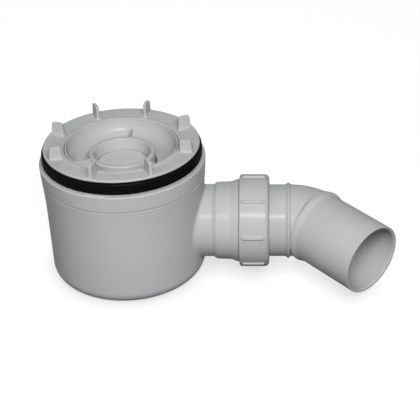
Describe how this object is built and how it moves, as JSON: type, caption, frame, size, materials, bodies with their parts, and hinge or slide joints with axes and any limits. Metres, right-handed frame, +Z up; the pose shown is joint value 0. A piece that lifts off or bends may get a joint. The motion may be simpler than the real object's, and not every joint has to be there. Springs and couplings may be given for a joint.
{
  "type": "shower trap",
  "caption": "Shower trap with a finned top flange, a lift-out dip funnel, a black seal ring and a swivelling angled side outlet held by a ribbed nut.",
  "frame": {"origin": "centre of the cup's flat underside", "axes": "+Z up along the cup's axis, +X along the side outlet of the cup, before the bend"},
  "size_m": [0.242, 0.1169, 0.1054],
  "materials": {
    "cup_plastic": "satin",
    "flange_plastic": "satin",
    "pipe_plastic": "satin",
    "washer_plastic": "satin",
    "rubber": "satin"
  },
  "bodies": {
    "trap_body": {"cup": "cup_plastic", "collar": "cup_plastic", "tray_seal": "rubber", "cone_seal": "rubber", "slip_washer": "washer_plastic"},
    "flange": {"flange": "flange_plastic", "funnel_seal": "rubber"},
    "funnel": {"dip_funnel": "flange_plastic", "ring_floor": "flange_plastic"},
    "nut": {"outlet_nut": "pipe_plastic"},
    "elbow": {"elbow": "pipe_plastic"}
  },
  "joints": [
    {"name": "flange_turn", "type": "hinge", "parent": "trap_body", "child": "flange", "pos_m": [0, 0, 0.095], "axis": [0, 0, 1], "range_deg": [0, 1080]},
    {"name": "funnel_lift", "type": "slide", "parent": "flange", "child": "funnel", "axis": [0, 0, 1], "range_m": [0, 0.1]},
    {"name": "nut_turn", "type": "hinge", "parent": "trap_body", "child": "nut", "pos_m": [0.0895, 0, 0.03535], "axis": [1, 0, 0], "range_deg": [0, 900]},
    {"name": "elbow_swivel", "type": "hinge", "parent": "trap_body", "child": "elbow", "pos_m": [0.0895, 0, 0.03535], "axis": [1, 0, 0], "continuous": true}
  ]
}
